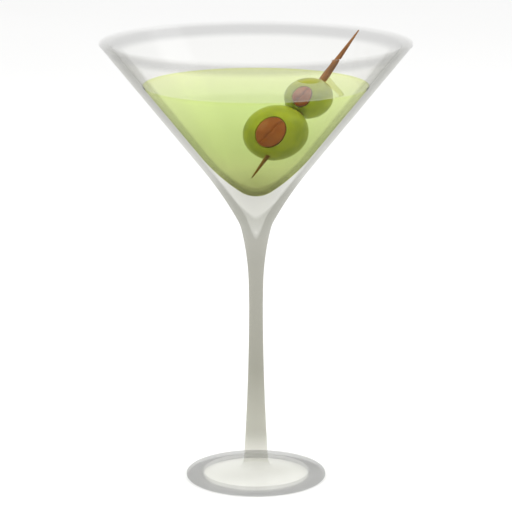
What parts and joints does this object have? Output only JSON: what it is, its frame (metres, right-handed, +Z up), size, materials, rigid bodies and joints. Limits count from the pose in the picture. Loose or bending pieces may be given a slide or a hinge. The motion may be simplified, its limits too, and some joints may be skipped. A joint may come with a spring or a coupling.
{
  "type": "martini cocktail",
  "caption": "Stemmed cone glass of pale yellow-green drink with stuffed olives skewered on a wooden pick that leans across the bowl.",
  "frame": {"origin": "middle of the foot's underside, on the surface that the glass stands on", "axes": "+Z up along the glass's axis; -Y is the front, where the olives' stuffing faces; +X is the right, towards which the pick leans"},
  "size_m": [0.1172, 0.1172, 0.17],
  "materials": {
    "glass": "clear polished glass",
    "drink": "clear pale yellow-green liquid",
    "olive": "wet green olive skin",
    "pimento": "wet red-brown pimento",
    "pick_wood": "plain turned wood"
  },
  "bodies": {
    "root": {"glass": "glass", "drink": "drink", "olive_lower": "olive", "olive_upper": "olive", "pimento_lower": "pimento", "pimento_upper": "pimento", "pick": "pick_wood"}
  },
  "joints": []
}
